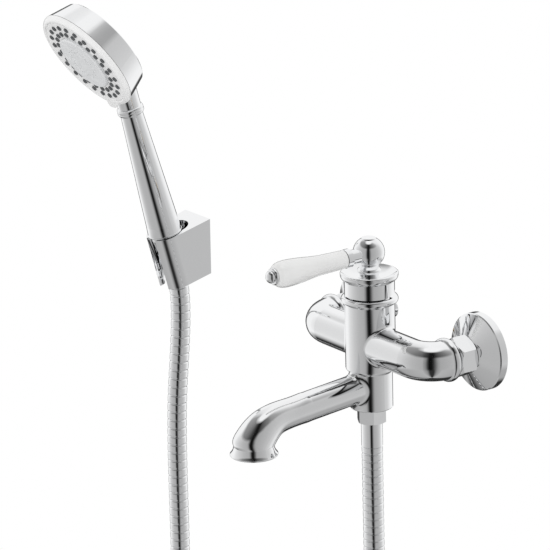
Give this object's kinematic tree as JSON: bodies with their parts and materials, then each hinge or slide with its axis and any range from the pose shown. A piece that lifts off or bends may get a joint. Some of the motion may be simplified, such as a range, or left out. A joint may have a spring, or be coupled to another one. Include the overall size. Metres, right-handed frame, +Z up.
{
  "type": "bath mixer with hand shower",
  "caption": "Wall-mounted single-lever bath mixer with a curved spout, a rear diverter button, and a hand shower on a ribbed hose in its own wall bracket.",
  "frame": {"origin": "on the wall plane, midway between the two inlets, at the height of the leg tubes", "axes": "+X along the wall to the right as seen from the room, +Y into the wall, +Z up"},
  "size_m": [0.4814, 0.2081, 0.9362],
  "materials": {
    "chrome": "polished chrome plate on brass",
    "hose_metal": "polished double-lock metal hose",
    "brass": "machined, unplated",
    "steel": "turned stainless steel",
    "porcelain": "white glazed ceramic",
    "disc_ceramic": "lapped ceramic",
    "white_plastic": "smooth moulded white",
    "pale_grey_plastic": "smooth moulded pale grey",
    "inner_plastic": "moulded, unpainted",
    "grey_rubber": "soft moulded silicone",
    "black_rubber": "moulded rubber"
  },
  "bodies": {
    "mixer": {"aerator_gasket": "black_rubber", "aerator_housing": "chrome", "aerator_insert": "inner_plastic", "body_casting": "chrome", "bracket_body": "chrome", "cartridge_base": "inner_plastic", "cartridge_housing": "inner_plastic", "cartridge_nut": "brass", "cartridge_seal": "black_rubber", "check_valve": "inner_plastic", "diverter_bush": "brass", "escutcheon_left": "chrome", "escutcheon_right": "chrome", "fixed_ceramic_disc": "disc_ceramic", "hose_gasket": "black_rubber", "hose_nut": "chrome", "hose_sleeve": "chrome", "hose_tail_lower": "brass", "nut_snap_ring_left": "steel", "nut_snap_ring_right": "steel", "outlet_nipple": "chrome", "shower_hose": "hose_metal", "trim_ring": "chrome", "union_gasket_left": "black_rubber", "union_gasket_right": "black_rubber", "union_nut_left": "chrome", "union_nut_right": "chrome", "wall_union_left": "brass", "wall_union_right": "brass"},
    "guide": {"spindle_guide": "inner_plastic", "pivot_pin": "steel"},
    "disc": {"moving_ceramic_disc": "disc_ceramic", "disc_carrier": "inner_plastic"},
    "lever": {"lever_spindle": "brass", "hub_hood": "chrome", "hub_dish": "chrome", "hub_neck": "chrome", "hub_set_screw": "steel", "lever_rod": "steel", "lever_ferrule": "chrome", "ceramic_handle": "porcelain", "lever_finial": "chrome"},
    "diverter": {"diverter_button": "chrome", "diverter_stem": "brass", "diverter_valve": "black_rubber"},
    "hose_end": {"hose_tail_upper": "brass", "cone_gasket": "black_rubber"},
    "handset": {"grip_tube": "chrome", "grip_spigot": "brass", "waterway_pipe": "inner_plastic", "grip_collar": "chrome", "head_shell": "chrome", "nozzle_plate": "white_plastic", "nozzle_pad": "grey_rubber", "centre_disc": "pale_grey_plastic", "flow_divider": "inner_plastic", "cone_nut": "chrome"},
    "selector": {"selector_ring": "white_plastic"}
  },
  "joints": [
    {"name": "lever_turn", "type": "hinge", "parent": "mixer", "child": "guide", "pos_m": [0, -0.056, 0.046], "axis": [0, 0, 1], "range_deg": [-50, 50]},
    {"name": "lever_lift", "type": "hinge", "parent": "guide", "child": "lever", "pos_m": [0, -0.056, 0.046], "axis": [-1, 0, 0], "range_deg": [0, 16]},
    {"name": "disc_slide", "type": "slide", "parent": "guide", "child": "disc", "axis": [0, -1, 0], "range_m": [0, 0.0018]},
    {"name": "diverter_push", "type": "slide", "parent": "mixer", "child": "diverter", "axis": [0, -1, 0], "range_m": [0, 0.006]},
    {"name": "handset_lift", "type": "slide", "parent": "mixer", "child": "hose_end", "axis": [0, -0.2588, 0.9659], "range_m": [0, 0.06]},
    {"name": "handset_swivel", "type": "hinge", "parent": "hose_end", "child": "handset", "pos_m": [-0.3243, -0.0356, 0.0144], "axis": [0, -0.2588, 0.9659], "range_deg": [-45, 45]},
    {"name": "selector_turn", "type": "hinge", "parent": "handset", "child": "selector", "pos_m": [-0.3243, -0.11242, 0.18172], "axis": [0, -0.838, -0.5457], "range_deg": [-35, 35]}
  ],
  "couplings": [
    {"joint": "disc_slide", "follows": "lever_lift", "m_per_rad": 0.0061}
  ]
}
